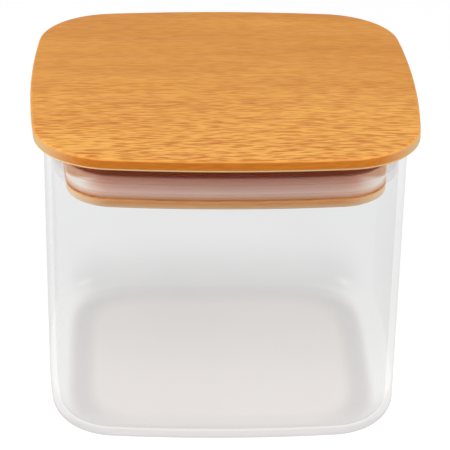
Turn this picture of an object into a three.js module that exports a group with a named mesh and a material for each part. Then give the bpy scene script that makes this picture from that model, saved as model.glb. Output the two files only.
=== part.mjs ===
// A square glass food jar with gently bowed sides and a push-in wooden lid.
// The lid is a thin board glued onto a thicker plug, and a silicone ring in the plug's groove seals it.
// Millimetres, +Z up. The origin is the middle of the jar's foot, on the table.
import * as THREE from "three";

// Driving dimensions of the jar
const JAR_WIDTH = 100; // across the middles of opposite sides, outside, at the rim
const JAR_HEIGHT = 84.6; // from the table to the top of the rim
const SIDE_BOW_RADIUS = 330; // in plan, of the outside of each bowed side
const CORNER_RADIUS = 19; // in plan, of the outside of each upright corner
const WALL = 2; // thickness of the glass wall
const FLOOR = 2.4; // from the table to the jar's inside floor
const WALL_DRAFT = 1; // how far each wall leans in between the rim and the table
const FOOT_RADIUS = 7; // outside rounding from the wall to the foot
const FLOOR_RADIUS = 5.5; // inside rounding from the wall to the floor
const STANDING_RING = 6; // width of the flat ring that the jar stands on
const PUSH_UP = 0.6; // rise of the underside from that ring to the middle

// Driving dimensions of the lid
const BOARD = 3.4; // thickness of the top board
const BOARD_OVERHANG = 3.3; // how far the board reaches past the glass all round
const BOARD_EDGE = 0.8; // rounding of the board's upper and lower edges
const UPPER_FLANGE = 5.3; // plug thickness above the groove
const LOWER_FLANGE = 2.4; // plug thickness below the groove
const PLUG_EDGE = 0.6; // rounding of the plug's lower edge
const PLUG_GAP = 3.4; // from the plug's side to the glass, at the rim

// Driving dimensions of the seal
const SEAL_BAND = 2.6; // thickness of the band that lies in the groove
const LIP_ROOT = 1.9; // lip thickness where it leaves the band
const LIP_TIP = 1; // lip thickness at its tip
const LIP_RISE = 0.7; // how far a lip slopes up from its root to its tip
const LIP_SPACE = 0.9; // between the two lips, at their roots
const LIP_FOOT = 1.75; // height of the band below the lower lip

// Clearances
const SEAT_GAP = 0.3; // between the glass rim and the board
const GROOVE_GAP = 0.3; // between the seal's band and the groove, on each of its three sides
const LIP_GAP = 0.3; // between a lip's tip and the glass

// Fineness of the curves
const SIDE_STEPS = 4; // straight pieces in each bowed side
const CORNER_STEPS = 8; // straight pieces in each upright corner
const ROUNDING_STEPS = 3; // half of the straight pieces in each rounding of a section
const LEAST_CORNER_RADIUS = 1; // keeps a deep inset from running out of corner
const SAME_POINT = 1e-4; // section points closer than this are one point

// Derived places: an outset is measured outwards from the outside of the rim
const plugOutset = -WALL - PLUG_GAP;
const grooveOutset = plugOutset - SEAL_BAND - GROOVE_GAP;
const sealHeight = LIP_FOOT + 2 * LIP_ROOT + LIP_SPACE;
const boardBottom = JAR_HEIGHT + SEAT_GAP;
const boardTop = boardBottom + BOARD;
const grooveTop = boardBottom - UPPER_FLANGE;
const grooveBottom = grooveTop - sealHeight - 2 * GROOVE_GAP;
const plugBottom = grooveBottom - LOWER_FLANGE;

// Outset of the leaning wall's outside at a height above the table.
function wallOutset(height) {
  return -WALL_DRAFT * (1 - height / JAR_HEIGHT);
}

// The plan outline at an outset, anticlockwise from above: four bowed sides joined by corner arcs.
// Side and corner arcs keep their centres as the outset changes, so the outlines are parallel.
function planOutline(outset) {
  const half = JAR_WIDTH / 2 + outset;
  const bow = SIDE_BOW_RADIUS + outset;
  const corner = Math.max(CORNER_RADIUS + outset, LEAST_CORNER_RADIUS);
  const setback = bow - half; // how far a side arc's centre lies past the middle
  const cornerCentre = (Math.sqrt(2 * (bow - corner) ** 2 - setback ** 2) - setback) / 2;
  const sideAngle = Math.atan2(cornerCentre, cornerCentre + setback);
  const side = new THREE.ArcCurve(-setback, 0, bow, -sideAngle, sideAngle);
  const upright = new THREE.ArcCurve(
    cornerCentre, cornerCentre, corner, sideAngle, Math.PI / 2 - sideAngle,
  );
  const quarter = [
    ...side.getPoints(SIDE_STEPS).slice(0, -1),
    ...upright.getPoints(CORNER_STEPS).slice(0, -1),
  ];
  const middle = new THREE.Vector2();
  const turns = [0, 1, 2, 3].map((count) => (count * Math.PI) / 2);
  return turns.flatMap((turn) => quarter.map((point) => point.clone().rotateAround(middle, turn)));
}

// The points of a section path, with neighbours that coincide taken as one.
function sectionPoints(section) {
  const points = section.getPoints(ROUNDING_STEPS);
  return points.filter((point, i) => i === 0 || point.distanceTo(points[i - 1]) > SAME_POINT);
}

// A closed solid: the section, in (outset, height), is carried round the plan outline.
// A section with capHeights is closed at its two ends by a fan to a point on the axis at each height.
// Without them its last point joins its first, which makes a ring.
function sweptSolid(section, capHeights) {
  const points = sectionPoints(section);
  const rings = points.map((point) => planOutline(point.x));
  const ringSize = rings[0].length;
  const positions = rings.flatMap((ring, i) => ring.flatMap((p) => [p.x, p.y, points[i].y]));
  const triangles = [];
  const bandCount = capHeights ? rings.length - 1 : rings.length;
  for (let band = 0; band < bandCount; band += 1) {
    const below = band * ringSize;
    const above = ((band + 1) % rings.length) * ringSize;
    for (let i = 0; i < ringSize; i += 1) {
      const next = (i + 1) % ringSize;
      triangles.push(below + i, below + next, above + next);
      triangles.push(below + i, above + next, above + i);
    }
  }
  if (capHeights) {
    const firstMiddle = positions.length / 3;
    const lastMiddle = firstMiddle + 1;
    const lastRing = (rings.length - 1) * ringSize;
    capHeights.forEach((height) => positions.push(0, 0, height));
    for (let i = 0; i < ringSize; i += 1) {
      const next = (i + 1) % ringSize;
      triangles.push(firstMiddle, next, i);
      triangles.push(lastMiddle, lastRing + i, lastRing + next);
    }
  }
  const geometry = new THREE.BufferGeometry();
  geometry.setAttribute("position", new THREE.Float32BufferAttribute(positions, 3));
  geometry.setIndex(triangles);
  geometry.computeVertexNormals();
  return geometry;
}

// The glass: from the underside out to the foot, up the wall, over the rim and down to the floor.
function jarGeometry() {
  const footCentre = wallOutset(FOOT_RADIUS) - FOOT_RADIUS;
  const floorCentreHeight = FLOOR + FLOOR_RADIUS;
  const floorCentre = wallOutset(floorCentreHeight) - WALL - FLOOR_RADIUS;
  const rimRadius = WALL / 2;
  const section = new THREE.Path();
  section.moveTo(footCentre - STANDING_RING, 0);
  section.lineTo(footCentre, 0);
  section.absarc(footCentre, FOOT_RADIUS, FOOT_RADIUS, -Math.PI / 2, 0, false);
  section.absarc(-rimRadius, JAR_HEIGHT - rimRadius, rimRadius, 0, Math.PI, false);
  section.absarc(floorCentre, floorCentreHeight, FLOOR_RADIUS, 0, -Math.PI / 2, true);
  return sweptSolid(section, [PUSH_UP, FLOOR]);
}

// The top board, with its upper and lower edges rounded.
function boardGeometry() {
  const edge = Math.min(BOARD_EDGE, BOARD / 2);
  const edgeCentre = BOARD_OVERHANG - edge;
  const section = new THREE.Path();
  section.absarc(edgeCentre, boardBottom + edge, edge, -Math.PI / 2, 0, false);
  section.absarc(edgeCentre, boardTop - edge, edge, 0, Math.PI / 2, false);
  return sweptSolid(section, [boardBottom, boardTop]);
}

// The plug: a lower flange, the groove for the seal, and an upper flange against the board.
function plugGeometry() {
  const edge = Math.min(PLUG_EDGE, LOWER_FLANGE / 2);
  const section = new THREE.Path();
  section.absarc(plugOutset - edge, plugBottom + edge, edge, -Math.PI / 2, 0, false);
  section.lineTo(plugOutset, grooveBottom);
  section.lineTo(grooveOutset, grooveBottom);
  section.lineTo(grooveOutset, grooveTop);
  section.lineTo(plugOutset, grooveTop);
  section.lineTo(plugOutset, boardBottom);
  return sweptSolid(section, [plugBottom, boardBottom]);
}

// One lip, from the lower corner of its root round its tip to the upper corner of its root.
function addLip(section, rootBottom) {
  const tipMiddle = rootBottom + LIP_ROOT / 2 + LIP_RISE;
  const tipBottom = tipMiddle - LIP_TIP / 2;
  const tipOutset = wallOutset(tipBottom) - WALL - LIP_GAP;
  section.lineTo(plugOutset, rootBottom);
  section.lineTo(tipOutset, tipBottom);
  section.lineTo(tipOutset, tipBottom + LIP_TIP);
  section.lineTo(plugOutset, rootBottom + LIP_ROOT);
}

// The seal: a band in the groove, flush with the plug's side, and two lips out towards the glass.
function sealGeometry() {
  const backOutset = grooveOutset + GROOVE_GAP;
  const sealBottom = grooveBottom + GROOVE_GAP;
  const sealTop = sealBottom + sealHeight;
  const section = new THREE.Path();
  section.moveTo(backOutset, sealBottom);
  section.lineTo(plugOutset, sealBottom);
  addLip(section, sealBottom + LIP_FOOT);
  addLip(section, sealTop - LIP_ROOT);
  section.lineTo(backOutset, sealTop);
  return sweptSolid(section);
}

// A named mesh with a material of its own.
function piece(name, geometry, look) {
  const mesh = new THREE.Mesh(geometry, new THREE.MeshStandardMaterial(look));
  mesh.name = name;
  return mesh;
}

const clearGlass = { color: 0xeef2f1, roughness: 0.03, metalness: 0, transparent: true, opacity: 0.3 };
const boardWood = { color: 0xdc9a58, roughness: 0.5, metalness: 0 };
const plugWood = { color: 0xd2a06c, roughness: 0.6, metalness: 0 };
const silicone = { color: 0xe2dad2, roughness: 0.45, metalness: 0 };

const lid = new THREE.Group();
lid.add(
  piece("lid_board", boardGeometry(), boardWood),
  piece("lid_plug", plugGeometry(), plugWood),
  piece("seal_ring", sealGeometry(), silicone),
);

const container = new THREE.Group();
container.add(piece("glass_jar", jarGeometry(), clearGlass), lid);

export default container;
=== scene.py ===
"""Looks of a square glass food jar with a push-in wooden lid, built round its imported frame.

Metres, with +Z up, +X along the lid's grain and -Y towards the viewer.
"""

import math

import bpy
from mathutils import Matrix, Vector


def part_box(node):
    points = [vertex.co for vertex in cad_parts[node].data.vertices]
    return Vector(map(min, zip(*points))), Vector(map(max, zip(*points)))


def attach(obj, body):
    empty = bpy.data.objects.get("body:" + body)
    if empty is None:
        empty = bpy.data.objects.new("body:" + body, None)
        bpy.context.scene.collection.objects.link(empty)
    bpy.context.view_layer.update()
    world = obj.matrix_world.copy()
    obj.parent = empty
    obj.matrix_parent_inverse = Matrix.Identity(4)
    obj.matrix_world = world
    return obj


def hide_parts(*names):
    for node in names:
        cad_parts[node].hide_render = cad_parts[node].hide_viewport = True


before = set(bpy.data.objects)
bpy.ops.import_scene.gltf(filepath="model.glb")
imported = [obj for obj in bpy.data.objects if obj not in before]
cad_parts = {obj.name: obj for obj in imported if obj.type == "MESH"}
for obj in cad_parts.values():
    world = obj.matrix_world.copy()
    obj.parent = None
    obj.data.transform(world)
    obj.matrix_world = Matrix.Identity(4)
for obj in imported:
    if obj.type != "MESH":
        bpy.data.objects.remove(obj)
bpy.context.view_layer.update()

# Sizes read from the frame: an outset is measured outwards from the outside of the glass rim
jar_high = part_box("glass_jar")[1]
board_low, board_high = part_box("lid_board")
plug_low, plug_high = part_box("lid_plug")
seal_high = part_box("seal_ring")[1]
half_width = jar_high.x
jar_height = jar_high.z
board_outset = board_high.x - half_width
plug_outset = plug_high.x - half_width
lip_outset = seal_high.x - half_width

# Sizes of the jar that no box gives
SIDE_BOW_RADIUS = 0.330
CORNER_RADIUS = 0.019
WALL = 0.002
FLOOR = 0.0024
WALL_DRAFT = 0.001
FOOT_RADIUS = 0.007
FLOOR_RADIUS = 0.0055
STANDING_RING = 0.006
PUSH_UP = 0.0006

# Sizes of the lid and seal that no box gives
BOARD_EDGE = 0.0008
PLUG_EDGE = 0.0006
FLANGE_EDGE = 0.0005
UPPER_FLANGE = 0.0053
LOWER_FLANGE = 0.0024
SEAL_BAND = 0.0026
GROOVE_GAP = 0.0003
LIP_ROOT = 0.0019
LIP_TIP = 0.001
LIP_RISE = 0.0007
LIP_FOOT = 0.00175
LIP_ROUNDING = 0.00045
LIP_HOLD = 0.0004  # how far a lip reaches into the band

# Noises: the scale in a metre along X, which is the grain, along Y and along Z, and the layers of detail
SWAY_NOISE = ((9, 24, 24), 2)
WAVER_NOISE = ((120, 200, 200), 2)
BROAD_NOISE = ((10, 80, 80), 3)
STREAK_NOISE = ((20, 420, 420), 4)
STROKE_NOISE = ((210, 1900, 1900), 1)
GLASS_NOISE = ((25, 25, 25), 2)
CLOUD_NOISE = ((140, 140, 140), 3)
NOISE_SPAN = (0.3, 0.7)  # most of a noise's values lie in it

# Wood. Here and below, a pair of depths, heights or the like is where a mask rises from 0 to 1
SWAY = 0.006  # how far the streaks wander across the grain
WAVER = 0.0005  # how far the strokes do
BROAD_SWING = 0.6
STREAK_SWING = 0.45
STROKE_SWING = 0.8
STROKE_SPAN = (0.34, 0.62)
STROKE_DEPTHS = (0.02, -0.052)  # from the back to the front
FAINT_STROKES = 0.25  # their strength at the back and on upright faces
TONE_DEPTHS = (0.05, -0.05)
TONES = (0.42, 0.54)  # at the back and in front
LEVEL_SPAN = (0.7, 0.98)
UPRIGHT_SPAN = (0.6, 0.2)
EDGE_START = (0.0, -0.3)
EDGE_END = (-0.9, -0.6)
# Where painted side light pales the ends of the board and of the plug's lower flange, and painted light its
# foot
BOARD_END_SPAN = (0.0375, 0.0525)
PLUG_END_SPAN = (0.028, 0.044)
PALE_ENDS = 0.8
PALE_FOOT_RISES = (0.0018, 0.0004)  # above the plug's underside
PALE_FOOT = 0.35
WOOD_ROUGHNESS = (0.52, 0.66)
STROKE_BUMP = 0.06
STROKE_HEIGHT = 0.0001
SATIN = 0.2  # specular level of the wood and the silicone
BOARD_DARK = (0.53, 0.155, 0.02, 1)
BOARD_LIGHT = (0.905, 0.455, 0.102, 1)
# painted shade on the board's upright faces, darker than its top
BOARD_SIDE_SHADE = (0.78, 0.54, 0.19, 1)
# painted side light on the board's left and right ends
BOARD_END_LIGHT = (0.61, 0.42, 0.205, 1)
# painted highlight on the board's rounded lower edge
BOARD_EDGE_HIGHLIGHT = (0.98, 0.68, 0.34, 1)
PLUG_DARK = (0.56, 0.215, 0.055, 1)
PLUG_LIGHT = (0.80, 0.395, 0.15, 1)
# painted shade on the plug's upper flange, deep under the board
UPPER_FLANGE_SHADE = (0.45, 0.15, 0.05, 1)
# painted light on the plug's lower flange, at its ends and along its foot
FLANGE_LIGHT = (0.82, 0.66, 0.465, 1)
# painted highlight on the plug's rounded lower edge
PLUG_EDGE_HIGHLIGHT = (0.85, 0.62, 0.42, 1)

# Glass: colours that one surface gives the light, and where it has them
PLAN_SQUARENESS = 5.4  # power of the rounded square that follows the jar's outline
FOOT_HEIGHTS = (0.016, 0.002)
FOOT_TURN = 0.6  # what the foot's front adds to how edge-on the glass is
OUTLINE_TURNS = (0.72, 1.0)
FOOT_LINE_TURNS = (1.15, 1.4)
# Painted shade in the glass: the table's shadow under the jar, seen through the low foot, the back of the
# foot, the floor and the ring
LOW_FOOT_HEIGHTS = (0.0058, 0.0044)
LOW_FOOT_DEPTHS = (-0.020, -0.040)
INSIDE_LOW_FOOT = 0.4  # its share on faces that look inwards
BACK_FOOT_HEIGHTS = (0.020, -0.004)
BACK_FOOT_DEPTHS = (0.036, 0.045)
FLOOR_REACHES = (0.0445, 0.0405)
FLOOR_DEPTHS = (-0.04, 0.04)
RING_REACHES = (0.0345, 0.0390)
RING_DEPTHS = (-0.042, -0.030)
FRONT_RING = 0.3  # the ring's share in front
CLEAR_GLASSES = ((0.883, 0.886, 0.887, 1), (0.898, 0.901, 0.902, 1))
OUTLINE_GLASS = (0.75, 0.75, 0.75, 1)
LOW_FOOT_SHADE = (0.66, 0.645, 0.65, 1)
FOOT_LINE_GLASS = (0.56, 0.55, 0.55, 1)
BACK_FOOT_SHADE = (0.73, 0.73, 0.73, 1)
# painted shadow of the jar and lid on the table under the floor, darker at the back
FLOOR_SHADES = ((0.83, 0.80, 0.78, 1), (0.775, 0.75, 0.735, 1))  # in front and at the back
# painted contact shadow in the ring round the floor's edge
RING_SHADE = (0.71, 0.695, 0.69, 1)
LIGHT_THROUGH_GLASS = (0.96, 0.96, 0.96, 1)
GLASS_IOR = 1.0
GLASS_COAT = 0.12
GLASS_COAT_ROUGHNESS = 0.3

# Silicone
BAND_DENSITY = 0.95
LIP_DENSITY = 0.09
DENSITY_SPREAD = 0.03
SEAL_END_SPAN = (0.033, 0.041)
END_LINE_SLOPE = 0.4
END_LINE = (0.0924, 0.0935)  # height plus the slope's share of the distance from the middle
FLANGE_RISES = (0.0028, 0.0002)  # above the lower flange
# Painted light: the silicone's pink is light bounced off the wood. Painted shade: it is redder and darker
# under the board and just above the lower flange
LOW_SILICONE = (0.98, 0.76, 0.68, 1)
SHADED_HIGH_SILICONE = (0.79, 0.38, 0.275, 1)
WHITE_END = (0.98, 0.96, 0.88, 1)
BROWN_END = (0.74, 0.41, 0.24, 1)
SHADED_FOOT_SILICONE = (0.66, 0.29, 0.14, 1)
LIGHT_THROUGH_SILICONE = (0.96, 0.95, 0.94, 1)
SILICONE_ROUGHNESS = (0.4, 0.5)

# Sockets of the colour mixing node
MIX_SHARE = 0
MIX_FIRST = 6
MIX_SECOND = 7
MIX_RESULT = 2

# Fineness of the meshes
SIDE_STEPS = 32
CORNER_STEPS = 28
ROUNDING_STEPS = 14
SUPPORT = 0.0004  # how far from a rounding a straight stretch gets a point that keeps its shading flat
SUPPORTED_LENGTH = 3 * SUPPORT  # a shorter stretch gets none
SAME_POINT = 1e-7  # points of a section this near each other are one
CAP_MARGIN = 0.004  # how far a flat cap's outline lies inside the piece's edge
DOME_RINGS = 12

# Camera at the photograph's viewing angle
IMAGE_SIDE = 450
FOCAL_PIXELS = 2626.4
SENSOR_MM = 36
CAMERA_ELEVATION = 26.008
CAMERA_YAW = -2.495
CAMERA_ROLL = 1.011
CAMERA_DISTANCE = 0.74759
CAMERA_TARGET = Vector((0, 0, 0.045))
CAMERA_SLIDE = (0.00117, -0.00091)  # to the camera's right and up

# Light
AMBIENT = 0.15
LAMP_SIZE = 0.5
LAMP_DISTANCE = 0.8
LAMPS = {  # azimuth from the front, plus to the right, elevation and strength
    "left_lamp": (-75, 24, 5.1),
    "right_lamp": (75, 24, 4.5),
    "front_lamp": (-5, 45, 2.9),
}
FLOOR_SIZE = 6.0
FLOOR_DROP = 0.0002  # the hair of air between the glass and the floor
FLOOR_ALBEDO = 0.4
FLOOR_GLOW = 0.715
WHITE = (1, 1, 1, 1)
MOST_BOUNCES = 32  # a ray passes many surfaces of the glass and the seal


def wall_outset(height):
    """Outset of the leaning wall's outside at a height above the table."""
    return -WALL_DRAFT * (1 - height / jar_height)


def arc(centre, radius, start, end, steps):
    """Points along an arc in a plane, both ends included."""
    angles = [start + (end - start) * i / steps for i in range(steps + 1)]
    return [(centre[0] + radius * math.cos(a), centre[1] + radius * math.sin(a)) for a in angles]


def plan_outline(outset):
    """The plan at an outset, anticlockwise: four bowed sides joined by corner arcs with fixed centres."""
    half = half_width + outset
    bow = SIDE_BOW_RADIUS + outset
    corner = CORNER_RADIUS + outset
    setback = bow - half
    corner_centre = (math.sqrt(2 * (bow - corner) ** 2 - setback ** 2) - setback) / 2
    side_angle = math.atan2(corner_centre, corner_centre + setback)
    side = arc((-setback, 0), bow, -side_angle, side_angle, SIDE_STEPS)
    corner_end = math.pi / 2 - side_angle
    upright = arc((corner_centre, corner_centre), corner, side_angle, corner_end, CORNER_STEPS)
    quarter = side[:-1] + upright[:-1]
    points = []
    for _ in range(4):
        points += quarter
        quarter = [(-y, x) for x, y in quarter]
    return points


def rounded_corner(before, corner, after, radius):
    """Points of the arc that rounds a section's corner, at most half of each straight stretch beside it."""
    here = Vector(corner)
    back = Vector(before) - here
    ahead = Vector(after) - here
    half_angle = back.angle(ahead) / 2
    cut = min(radius / math.tan(half_angle), back.length / 2, ahead.length / 2)
    fitted = cut * math.tan(half_angle)
    middle = (back.normalized() + ahead.normalized()).normalized()
    centre = here + middle * (fitted / math.sin(half_angle))
    start = here + back.normalized() * cut - centre
    end = here + ahead.normalized() * cut - centre
    first = math.atan2(start.y, start.x)
    sweep = math.atan2(start.x * end.y - start.y * end.x, start.dot(end))
    return arc(centre, fitted, first, first + sweep, ROUNDING_STEPS)


def rounded_section(corners, closed=False):
    """Points of a section given as (outset, height, rounding) corners, with support by its roundings."""
    places = [(x, z) for x, z, _ in corners]
    count = len(corners)
    stretches = []
    for i, (x, z, radius) in enumerate(corners):
        at_end = not closed and i in (0, count - 1)
        if at_end or radius == 0:
            stretches.append([(x, z)])
        else:
            stretches.append(rounded_corner(places[i - 1], (x, z), places[(i + 1) % count], radius))
    points = []
    for i, stretch in enumerate(stretches):
        points += stretch
        if i + 1 < count or closed:
            start = Vector(stretch[-1])
            end = Vector(stretches[(i + 1) % count][0])
            along = end - start
            if along.length > SUPPORTED_LENGTH:
                step = along.normalized() * SUPPORT
                points += [tuple(start + step), tuple(end - step)]
    distinct = points[:1]
    for before, point in zip(points, points[1:]):
        if math.dist(before, point) > SAME_POINT:
            distinct.append(point)
    return distinct


def swept_piece(name, section, start_cap=None, end_cap=None):
    """A smooth closed mesh: the section is carried round the plan. A cap is a list of rings, each a share
    of the end ring and a height, down to the middle. Without caps the section closes on itself."""
    rings = [[(x, y, height) for x, y in plan_outline(outset)] for outset, height in section]
    size = len(rings[0])
    capped = start_cap is not None

    def shrunk(ring, cap):
        return [[(x * share, y * share, height) for x, y, _ in ring] for share, height in cap[:-1]]

    if capped:
        first, last = rings[0], rings[-1]
        rings = shrunk(first, start_cap)[::-1] + rings + shrunk(last, end_cap)
    vertices = [point for ring in rings for point in ring]
    faces = []
    bands = len(rings) - 1 if capped else len(rings)
    for band in range(bands):
        below = band * size
        above = (band + 1) % len(rings) * size
        for i in range(size):
            following = (i + 1) % size
            faces.append((below + i, below + following, above + following, above + i))
    if capped:
        start_middle = len(vertices)
        vertices += [(0, 0, start_cap[-1][1]), (0, 0, end_cap[-1][1])]
        top = (len(rings) - 1) * size
        for i in range(size):
            following = (i + 1) % size
            faces.append((start_middle, following, i))
            faces.append((start_middle + 1, top + i, top + following))
    mesh = bpy.data.meshes.new(name)
    mesh.from_pydata(vertices, [], faces)
    mesh.polygons.foreach_set("use_smooth", [True] * len(faces))
    mesh.update()
    piece = bpy.data.objects.new(name, mesh)
    bpy.context.scene.collection.objects.link(piece)
    return piece


def flat_cap(height):
    """A cap that stays at one height, with one ring halfway to the middle."""
    return [(0.5, height), (0, height)]


def dome_cap(rise):
    """A cap that swells smoothly from the table to a rise in the middle."""
    shares = [1 - (i + 1) / DOME_RINGS for i in range(DOME_RINGS)]
    return [(share, rise * (1 + math.cos(math.pi * share)) / 2) for share in shares]


def make_jar():
    rim = WALL / 2
    ring_outset = wall_outset(0) - FOOT_RADIUS - STANDING_RING
    floor_outset = wall_outset(FLOOR) - WALL
    section = rounded_section([
        (ring_outset, 0, 0),
        (wall_outset(0), 0, FOOT_RADIUS),
        (0, jar_height, rim),
        (-WALL, jar_height, rim),
        (floor_outset, FLOOR, FLOOR_RADIUS),
        (floor_outset - FLOOR_RADIUS - CAP_MARGIN, FLOOR, 0),
    ])
    return swept_piece("clear_jar", section, dome_cap(PUSH_UP), flat_cap(FLOOR))


def make_board():
    bottom, top = board_low.z, board_high.z
    inner = board_outset - CAP_MARGIN
    section = rounded_section([
        (inner, bottom, 0),
        (board_outset, bottom, BOARD_EDGE),
        (board_outset, top, BOARD_EDGE),
        (inner, top, 0),
    ])
    return swept_piece("beech_board", section, flat_cap(bottom), flat_cap(top))


groove_outset = plug_outset - SEAL_BAND - GROOVE_GAP
groove_bottom = plug_low.z + LOWER_FLANGE
groove_top = plug_high.z - UPPER_FLANGE


def make_plug():
    bottom, top = plug_low.z, plug_high.z
    inner = groove_outset - CAP_MARGIN
    section = rounded_section([
        (inner, bottom, 0),
        (plug_outset, bottom, PLUG_EDGE),
        (plug_outset, groove_bottom, FLANGE_EDGE),
        (groove_outset, groove_bottom, FLANGE_EDGE),
        (groove_outset, groove_top, FLANGE_EDGE),
        (plug_outset, groove_top, FLANGE_EDGE),
        (plug_outset, top, FLANGE_EDGE),
        (inner, top, 0),
    ])
    return swept_piece("beech_plug", section, flat_cap(bottom), flat_cap(top))


seal_bottom = groove_bottom + GROOVE_GAP
seal_top = groove_top - GROOVE_GAP


def make_band():
    back = groove_outset + GROOVE_GAP
    section = rounded_section([
        (back, seal_bottom, LIP_ROUNDING),
        (plug_outset, seal_bottom, LIP_ROUNDING),
        (plug_outset, seal_top, LIP_ROUNDING),
        (back, seal_top, LIP_ROUNDING),
    ], closed=True)
    return swept_piece("silicone_band", section)


def make_lip(name, root_bottom):
    """One lip, from inside the band out to its tip by the glass."""
    root = plug_outset - LIP_HOLD
    tip_bottom = root_bottom + LIP_ROOT / 2 + LIP_RISE - LIP_TIP / 2
    section = rounded_section([
        (root, root_bottom, 0),
        (lip_outset, tip_bottom, LIP_ROUNDING),
        (lip_outset, tip_bottom + LIP_TIP, LIP_ROUNDING),
        (root, root_bottom + LIP_ROOT, 0),
    ], closed=True)
    return swept_piece(name, section)


def add(tree, kind, inputs=None, **settings):
    """A new node with its settings, and with each named input set to a value or linked to a socket."""
    node = tree.nodes.new(kind)
    for key, value in settings.items():
        setattr(node, key, value)
    for key, value in (inputs or {}).items():
        if isinstance(value, bpy.types.NodeSocket):
            tree.links.new(value, node.inputs[key])
        else:
            node.inputs[key].default_value = value
    return node


def new_material(name):
    """A material with nodes, its tree and its shader."""
    material = bpy.data.materials.new(name)
    material.use_nodes = True
    return material, material.node_tree, material.node_tree.nodes["Principled BSDF"]


def stretched(tree, place, scale):
    """A place with its axes scaled, so that a texture there runs along the grain."""
    return add(tree, "ShaderNodeMapping", {"Vector": place, "Scale": scale}).outputs["Vector"]


def noise(tree, place, scale, detail):
    """Noise from 0 to 1 in stretched space."""
    inputs = {"Vector": stretched(tree, place, scale), "Scale": 1, "Detail": detail}
    return add(tree, "ShaderNodeTexNoise", inputs).outputs["Fac"]


def maths(tree, operation, first, second):
    return add(tree, "ShaderNodeMath", {0: first, 1: second}, operation=operation).outputs["Value"]


def times(tree, first, second):
    return maths(tree, "MULTIPLY", first, second)


def absolute(tree, value):
    return add(tree, "ShaderNodeMath", {0: value}, operation="ABSOLUTE").outputs["Value"]


def mapped(tree, value, low, high, to_low=0.0, to_high=1.0):
    """A value mapped smoothly from one range to another."""
    inputs = {"Value": value, "From Min": low, "From Max": high, "To Min": to_low, "To Max": to_high}
    return add(tree, "ShaderNodeMapRange", inputs, interpolation_type="SMOOTHSTEP").outputs["Result"]


def mixed(tree, share, first, second, blend="MIX"):
    """Two colours mixed, or blended, by a share from 0 to 1."""
    inputs = {MIX_SHARE: share, MIX_FIRST: first, MIX_SECOND: second}
    node = add(tree, "ShaderNodeMix", inputs, data_type="RGBA", blend_type=blend)
    return node.outputs[MIX_RESULT]


def swing(tree, value, size):
    """A value from 0 to 1 turned into a swing of a given size about 0."""
    node = add(tree, "ShaderNodeMath", {0: value, 1: size, 2: -size / 2}, operation="MULTIPLY_ADD")
    return node.outputs["Value"]


def combined(tree, operation, first, second):
    """Two vectors combined by an operation."""
    return add(tree, "ShaderNodeVectorMath", {0: first, 1: second}, operation=operation).outputs


def moved_across(tree, place, distance):
    """A place moved across the grain, both sideways and in depth."""
    step = add(tree, "ShaderNodeCombineXYZ", {"Y": distance, "Z": distance}).outputs["Vector"]
    return combined(tree, "ADD", place, step)["Vector"]


def axes_of(tree, vector):
    return add(tree, "ShaderNodeSeparateXYZ", {"Vector": vector}).outputs


def place_on(tree):
    """The place of a point on the piece."""
    return add(tree, "ShaderNodeTexCoord").outputs["Object"]


def normal_on(tree):
    """The direction that a point's face looks in."""
    return add(tree, "ShaderNodeTexCoord").outputs["Normal"]


def height_on(tree):
    return axes_of(tree, place_on(tree))["Z"]


def from_middle(tree):
    """How far to the left or right of the middle a place lies."""
    return absolute(tree, axes_of(tree, place_on(tree))["X"])


def flatness(tree):
    """1 on faces that lie flat, 0 on those that stand upright."""
    return absolute(tree, axes_of(tree, normal_on(tree))["Z"])


def sideways(tree):
    """1 on faces that stand more or less upright, 0 on the others."""
    return mapped(tree, flatness(tree), *UPRIGHT_SPAN)


def lower_edge(tree):
    """1 on the rounded lower edges of the board and the plug, where a highlight is painted, 0 elsewhere,
    the groove's edges included.
    """
    tilt = axes_of(tree, normal_on(tree))["Z"]
    rounding = times(tree, mapped(tree, tilt, *EDGE_START), mapped(tree, tilt, *EDGE_END))
    height = height_on(tree)
    below_groove = maths(tree, "LESS_THAN", height, groove_bottom - FLANGE_EDGE)
    above_plug = maths(tree, "GREATER_THAN", height, plug_high.z)
    return times(tree, rounding, maths(tree, "ADD", below_groove, above_plug))


def board_ends(tree):
    """1 on the upright faces at the left and right ends of the board, where painted side light pales them.
    """
    return times(tree, sideways(tree), mapped(tree, from_middle(tree), *BOARD_END_SPAN))


def flange_light_mask(tree):
    """Up to 1 on the plug's lower flange, most at its left and right ends and some along its foot, where
    painted light pales it.
    """
    height = height_on(tree)
    at_ends = mapped(tree, from_middle(tree), *PLUG_END_SPAN, 0.0, PALE_ENDS)
    at_foot = mapped(tree, height, *(plug_low.z + rise for rise in PALE_FOOT_RISES), 0.0, PALE_FOOT)
    below_groove = maths(tree, "LESS_THAN", height, groove_bottom)
    pale = times(tree, maths(tree, "MAXIMUM", at_ends, at_foot), below_groove)
    return times(tree, pale, sideways(tree))


def above_groove(tree):
    """1 on the plug's upper flange, 0 below the groove: where painted shade darkens the plug and the
    silicone.
    """
    return mapped(tree, height_on(tree), groove_bottom, groove_top)


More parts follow.
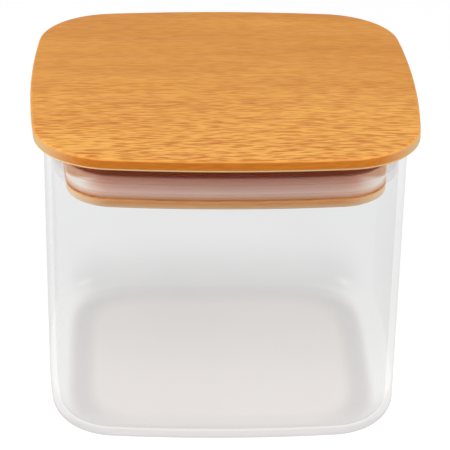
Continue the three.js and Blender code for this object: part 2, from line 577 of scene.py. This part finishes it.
def wood_material(name, dark, light, shade_tint, shade_mask, painted_lights):
    """Satin beech with its grain along X: soft streaks, and short strokes that are strongest in front.
    The painted shade multiplies the colour where its mask is 1. Each painted light is a mask and the
    colour that covers the wood where the mask is 1: paler ends and foot, and highlighted lower edges."""
    material, tree, shader = new_material(name)
    place = place_on(tree)
    swayed = moved_across(tree, place, swing(tree, noise(tree, place, *SWAY_NOISE), SWAY))
    grain = moved_across(tree, swayed, swing(tree, noise(tree, place, *WAVER_NOISE), WAVER))
    broad = noise(tree, swayed, *BROAD_NOISE)
    streaks = noise(tree, swayed, *STREAK_NOISE)
    strokes = mapped(tree, noise(tree, grain, *STROKE_NOISE), *STROKE_SPAN)
    depth = axes_of(tree, place)["Y"]
    in_front = mapped(tree, depth, *STROKE_DEPTHS, FAINT_STROKES, 1.0)
    on_top = mapped(tree, flatness(tree), *LEVEL_SPAN, FAINT_STROKES, 1.0)
    relief = times(tree, swing(tree, strokes, STROKE_SWING), times(tree, in_front, on_top))
    tone = maths(tree, "ADD", swing(tree, broad, BROAD_SWING), swing(tree, streaks, STREAK_SWING))
    tone = maths(tree, "ADD", tone, relief)
    tone = maths(tree, "ADD", tone, mapped(tree, depth, *TONE_DEPTHS, *TONES))
    colour = mixed(tree, tone, dark, light)
    # painted shade: the colour is darkened where the mask is 1
    shade = mixed(tree, shade_mask(tree), WHITE, shade_tint)
    colour = mixed(tree, 1.0, colour, shade, "MULTIPLY")
    # painted lights laid over the wood: paler ends and foot, highlighted lower edges
    for mask, lit_colour in painted_lights:
        colour = mixed(tree, mask(tree), colour, lit_colour)
    bump_inputs = {"Height": strokes, "Strength": STROKE_BUMP, "Distance": STROKE_HEIGHT}
    bump = add(tree, "ShaderNodeBump", bump_inputs).outputs["Normal"]
    tree.links.new(colour, shader.inputs["Base Color"])
    tree.links.new(mapped(tree, streaks, *NOISE_SPAN, *WOOD_ROUGHNESS), shader.inputs["Roughness"])
    tree.links.new(bump, shader.inputs["Normal"])
    shader.inputs["Specular IOR Level"].default_value = SATIN
    return material


def plan_reach(tree, place):
    """How far out a place lies in plan, along the rounded square that the jar's outline nearly is."""
    axes = axes_of(tree, place)
    powers = [maths(tree, "POWER", absolute(tree, axes[axis]), PLAN_SQUARENESS) for axis in ("X", "Y")]
    return maths(tree, "POWER", maths(tree, "ADD", *powers), 1 / PLAN_SQUARENESS)


def pass_light(tree, shader, colour):
    """The shader's surface, but plainly see-through for the light on its way to what lies behind it."""
    path = add(tree, "ShaderNodeLightPath").outputs
    clear = add(tree, "ShaderNodeBsdfTransparent", {"Color": colour}).outputs["BSDF"]
    surface = shader.outputs["BSDF"]
    for ray in ("Is Diffuse Ray", "Is Shadow Ray"):
        inputs = {0: path[ray], 1: surface, 2: clear}
        surface = add(tree, "ShaderNodeMixShader", inputs).outputs["Shader"]
    tree.links.new(surface, tree.nodes["Material Output"].inputs["Surface"])


def outward(tree, place, backfacing):
    """1 on faces that look away from the jar's axis, 0 on those that look towards it."""
    across = combined(tree, "MULTIPLY", place, (1, 1, 0))["Vector"]
    along = combined(tree, "DOT_PRODUCT", across, normal_on(tree))["Value"]
    side = swing(tree, backfacing, -2)  # 1 seen from the front, -1 from behind
    return maths(tree, "GREATER_THAN", times(tree, along, side), 0.0)


def glass_material():
    """Clear glass with a faint grey cast, greyer at its outline. Painted shade darkens it in the foot, in
    the floor and most in the ring where the floor turns into the wall: the table's shadow under the jar,
    seen through the glass."""
    material, tree, shader = new_material("clear_glass")
    place = place_on(tree)
    axes = axes_of(tree, place)
    height, depth = axes["Z"], axes["Y"]
    backfacing = add(tree, "ShaderNodeNewGeometry").outputs["Backfacing"]
    outside = outward(tree, place, backfacing)
    facing_foot = mapped(tree, backfacing, 0.0, 1.0, FOOT_TURN, 0.0)
    in_foot = times(tree, mapped(tree, height, *FOOT_HEIGHTS), facing_foot)
    edge_on = add(tree, "ShaderNodeLayerWeight", {"Blend": 0.5}).outputs["Facing"]
    turned = maths(tree, "ADD", edge_on, in_foot)
    outline = times(tree, outside, mapped(tree, turned, *OUTLINE_TURNS))
    foot_line = times(tree, outside, mapped(tree, turned, *FOOT_LINE_TURNS))
    low_foot = times(tree, mapped(tree, height, *LOW_FOOT_HEIGHTS), mapped(tree, depth, *LOW_FOOT_DEPTHS))
    low_foot = times(tree, low_foot, mapped(tree, outside, 0.0, 1.0, INSIDE_LOW_FOOT, 1.0))
    back_foot = mapped(tree, height, *BACK_FOOT_HEIGHTS)
    back_foot = times(tree, back_foot, mapped(tree, depth, *BACK_FOOT_DEPTHS))
    reach = plan_reach(tree, place)
    in_floor = mapped(tree, reach, *FLOOR_REACHES)
    floor_shade = mixed(tree, mapped(tree, depth, *FLOOR_DEPTHS), *FLOOR_SHADES)
    in_ring = times(tree, in_floor, mapped(tree, reach, *RING_REACHES))
    in_ring = times(tree, in_ring, mapped(tree, depth, *RING_DEPTHS, FRONT_RING, 1.0))
    cast = noise(tree, place, *GLASS_NOISE)
    colour = mixed(tree, mapped(tree, cast, *NOISE_SPAN), *CLEAR_GLASSES)
    colour = mixed(tree, outline, colour, OUTLINE_GLASS)
    # painted shade from here on: the table's shadow seen through the foot, the floor and the ring
    colour = mixed(tree, low_foot, colour, LOW_FOOT_SHADE)
    colour = mixed(tree, foot_line, colour, FOOT_LINE_GLASS)
    colour = mixed(tree, back_foot, colour, BACK_FOOT_SHADE)
    colour = mixed(tree, in_floor, colour, floor_shade)
    colour = mixed(tree, in_ring, colour, RING_SHADE)
    tree.links.new(colour, shader.inputs["Base Color"])
    shader.inputs["Roughness"].default_value = 0.0
    shader.inputs["IOR"].default_value = GLASS_IOR
    shader.inputs["Transmission Weight"].default_value = 1.0
    shader.inputs["Coat Weight"].default_value = GLASS_COAT
    shader.inputs["Coat Roughness"].default_value = GLASS_COAT_ROUGHNESS
    pass_light(tree, shader, LIGHT_THROUGH_GLASS)
    return material


def silicone_material(name, density):
    """Milky silicone of a given density, pink with painted light bounced off the wood, and redder and
    darker with painted shade near the wood above and below it. Towards the left and right it is browner
    above, and whiter below, a line that falls with the distance from the middle."""
    material, tree, shader = new_material(name)
    height = height_on(tree)
    across = from_middle(tree)
    slant = maths(tree, "ADD", times(tree, across, END_LINE_SLOPE), height)
    end_colour = mixed(tree, mapped(tree, slant, *END_LINE), WHITE_END, BROWN_END)
    near_flange = mapped(tree, height, *(groove_bottom + rise for rise in FLANGE_RISES))
    colour = mixed(tree, above_groove(tree), LOW_SILICONE, SHADED_HIGH_SILICONE)
    colour = mixed(tree, mapped(tree, across, *SEAL_END_SPAN), colour, end_colour)
    colour = mixed(tree, near_flange, colour, SHADED_FOOT_SILICONE)
    cloud = noise(tree, place_on(tree), *CLOUD_NOISE)
    roughness = mapped(tree, cloud, *NOISE_SPAN, *SILICONE_ROUGHNESS)
    alpha = mapped(tree, cloud, *NOISE_SPAN, density - DENSITY_SPREAD, density)
    tree.links.new(colour, shader.inputs["Base Color"])
    tree.links.new(roughness, shader.inputs["Roughness"])
    tree.links.new(alpha, shader.inputs["Alpha"])
    shader.inputs["Specular IOR Level"].default_value = SATIN
    pass_light(tree, shader, LIGHT_THROUGH_SILICONE)
    return material


def dress(piece, body, node, material):
    """The piece takes the place of a CAD node, moves with its body and has its finish."""
    piece.data.materials.append(material)
    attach(piece, body)
    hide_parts(node)


def seen_directly(tree):
    """1 for a ray from the camera, or sent on by glass or gloss, before it meets a matt surface."""
    path = add(tree, "ShaderNodeLightPath").outputs
    shiny = maths(tree, "MAXIMUM", path["Is Glossy Ray"], path["Is Transmission Ray"])
    direct = maths(tree, "MAXIMUM", path["Is Camera Ray"], shiny)
    return times(tree, direct, maths(tree, "LESS_THAN", path["Diffuse Depth"], 0.5))


def make_world():
    world = bpy.data.worlds.new("studio")
    world.use_nodes = True
    tree = world.node_tree
    background = tree.nodes["Background"]
    background.inputs["Color"].default_value = WHITE
    strength = mapped(tree, seen_directly(tree), 0.0, 1.0, AMBIENT, 1.0)
    tree.links.new(strength, background.inputs["Strength"])
    bpy.context.scene.world = world


def make_floor():
    half = FLOOR_SIZE / 2
    plan = ((-half, -half), (half, -half), (half, half), (-half, half))
    mesh = bpy.data.meshes.new("floor")
    mesh.from_pydata([(x, y, -FLOOR_DROP) for x, y in plan], [], [(0, 1, 2, 3)])
    material, tree, shader = new_material("pale_floor")
    tree.nodes.remove(shader)
    matt = add(tree, "ShaderNodeBsdfDiffuse", {"Color": (FLOOR_ALBEDO, FLOOR_ALBEDO, FLOOR_ALBEDO, 1)})
    glow = add(tree, "ShaderNodeEmission", {
        "Color": WHITE,
        "Strength": maths(tree, "MULTIPLY", seen_directly(tree), FLOOR_GLOW),
    })
    both = add(tree, "ShaderNodeAddShader", {0: matt.outputs["BSDF"], 1: glow.outputs["Emission"]})
    tree.links.new(both.outputs["Shader"], tree.nodes["Material Output"].inputs["Surface"])
    mesh.materials.append(material)
    floor = bpy.data.objects.new("floor", mesh)
    bpy.context.scene.collection.objects.link(floor)


def make_lamp(name, azimuth, elevation, strength):
    level = math.cos(math.radians(elevation))
    towards = Vector((
        math.sin(math.radians(azimuth)) * level,
        -math.cos(math.radians(azimuth)) * level,
        math.sin(math.radians(elevation)),
    ))
    lamp = bpy.data.lights.new(name, "AREA")
    lamp.energy = strength
    lamp.size = LAMP_SIZE
    holder = bpy.data.objects.new(name, lamp)
    holder.location = CAMERA_TARGET + towards * LAMP_DISTANCE
    holder.rotation_euler = towards.to_track_quat("Z", "Y").to_euler()
    bpy.context.scene.collection.objects.link(holder)


def make_camera():
    elevation = math.radians(CAMERA_ELEVATION)
    yaw = math.radians(CAMERA_YAW)
    roll = math.radians(CAMERA_ROLL)
    back = Vector((
        math.sin(yaw) * math.cos(elevation),
        -math.cos(yaw) * math.cos(elevation),
        math.sin(elevation),
    ))
    level_right = Vector((math.cos(yaw), math.sin(yaw), 0))
    level_up = back.cross(level_right)
    right = math.cos(roll) * level_right + math.sin(roll) * level_up
    up = math.cos(roll) * level_up - math.sin(roll) * level_right
    data = bpy.data.cameras.new("camera")
    data.sensor_width = SENSOR_MM
    data.lens = SENSOR_MM * FOCAL_PIXELS / IMAGE_SIDE
    camera = bpy.data.objects.new("camera", data)
    place = CAMERA_TARGET + back * CAMERA_DISTANCE + right * CAMERA_SLIDE[0] + up * CAMERA_SLIDE[1]
    turn = Matrix((right, up, back)).transposed().to_4x4()
    camera.matrix_world = Matrix.Translation(place) @ turn
    bpy.context.scene.collection.objects.link(camera)
    bpy.context.scene.camera = camera


# board and plug carry painted shade, painted light and painted highlights besides their grain
board_painted_lights = [(board_ends, BOARD_END_LIGHT), (lower_edge, BOARD_EDGE_HIGHLIGHT)]
board_wood = wood_material(
    "board_wood", BOARD_DARK, BOARD_LIGHT, BOARD_SIDE_SHADE, sideways, board_painted_lights)
plug_painted_lights = [(flange_light_mask, FLANGE_LIGHT), (lower_edge, PLUG_EDGE_HIGHLIGHT)]
plug_wood = wood_material(
    "plug_wood", PLUG_DARK, PLUG_LIGHT, UPPER_FLANGE_SHADE, above_groove, plug_painted_lights)

dress(make_jar(), "jar", "glass_jar", glass_material())
dress(make_board(), "lid", "lid_board", board_wood)
dress(make_plug(), "lid", "lid_plug", plug_wood)
band_silicone = silicone_material("band_silicone", BAND_DENSITY)
lip_silicone = silicone_material("lip_silicone", LIP_DENSITY)
dress(make_band(), "lid", "seal_ring", band_silicone)
dress(make_lip("lower_lip", seal_bottom + LIP_FOOT), "lid", "seal_ring", lip_silicone)
dress(make_lip("upper_lip", seal_top - LIP_ROOT), "lid", "seal_ring", lip_silicone)

make_world()
make_floor()
for name, setting in LAMPS.items():
    make_lamp(name, *setting)
make_camera()
bpy.context.scene.view_settings.view_transform = "Standard"
bpy.context.scene.cycles.max_bounces = MOST_BOUNCES
bpy.context.scene.cycles.glossy_bounces = MOST_BOUNCES
bpy.context.scene.cycles.transmission_bounces = MOST_BOUNCES
bpy.context.scene.cycles.transparent_max_bounces = MOST_BOUNCES
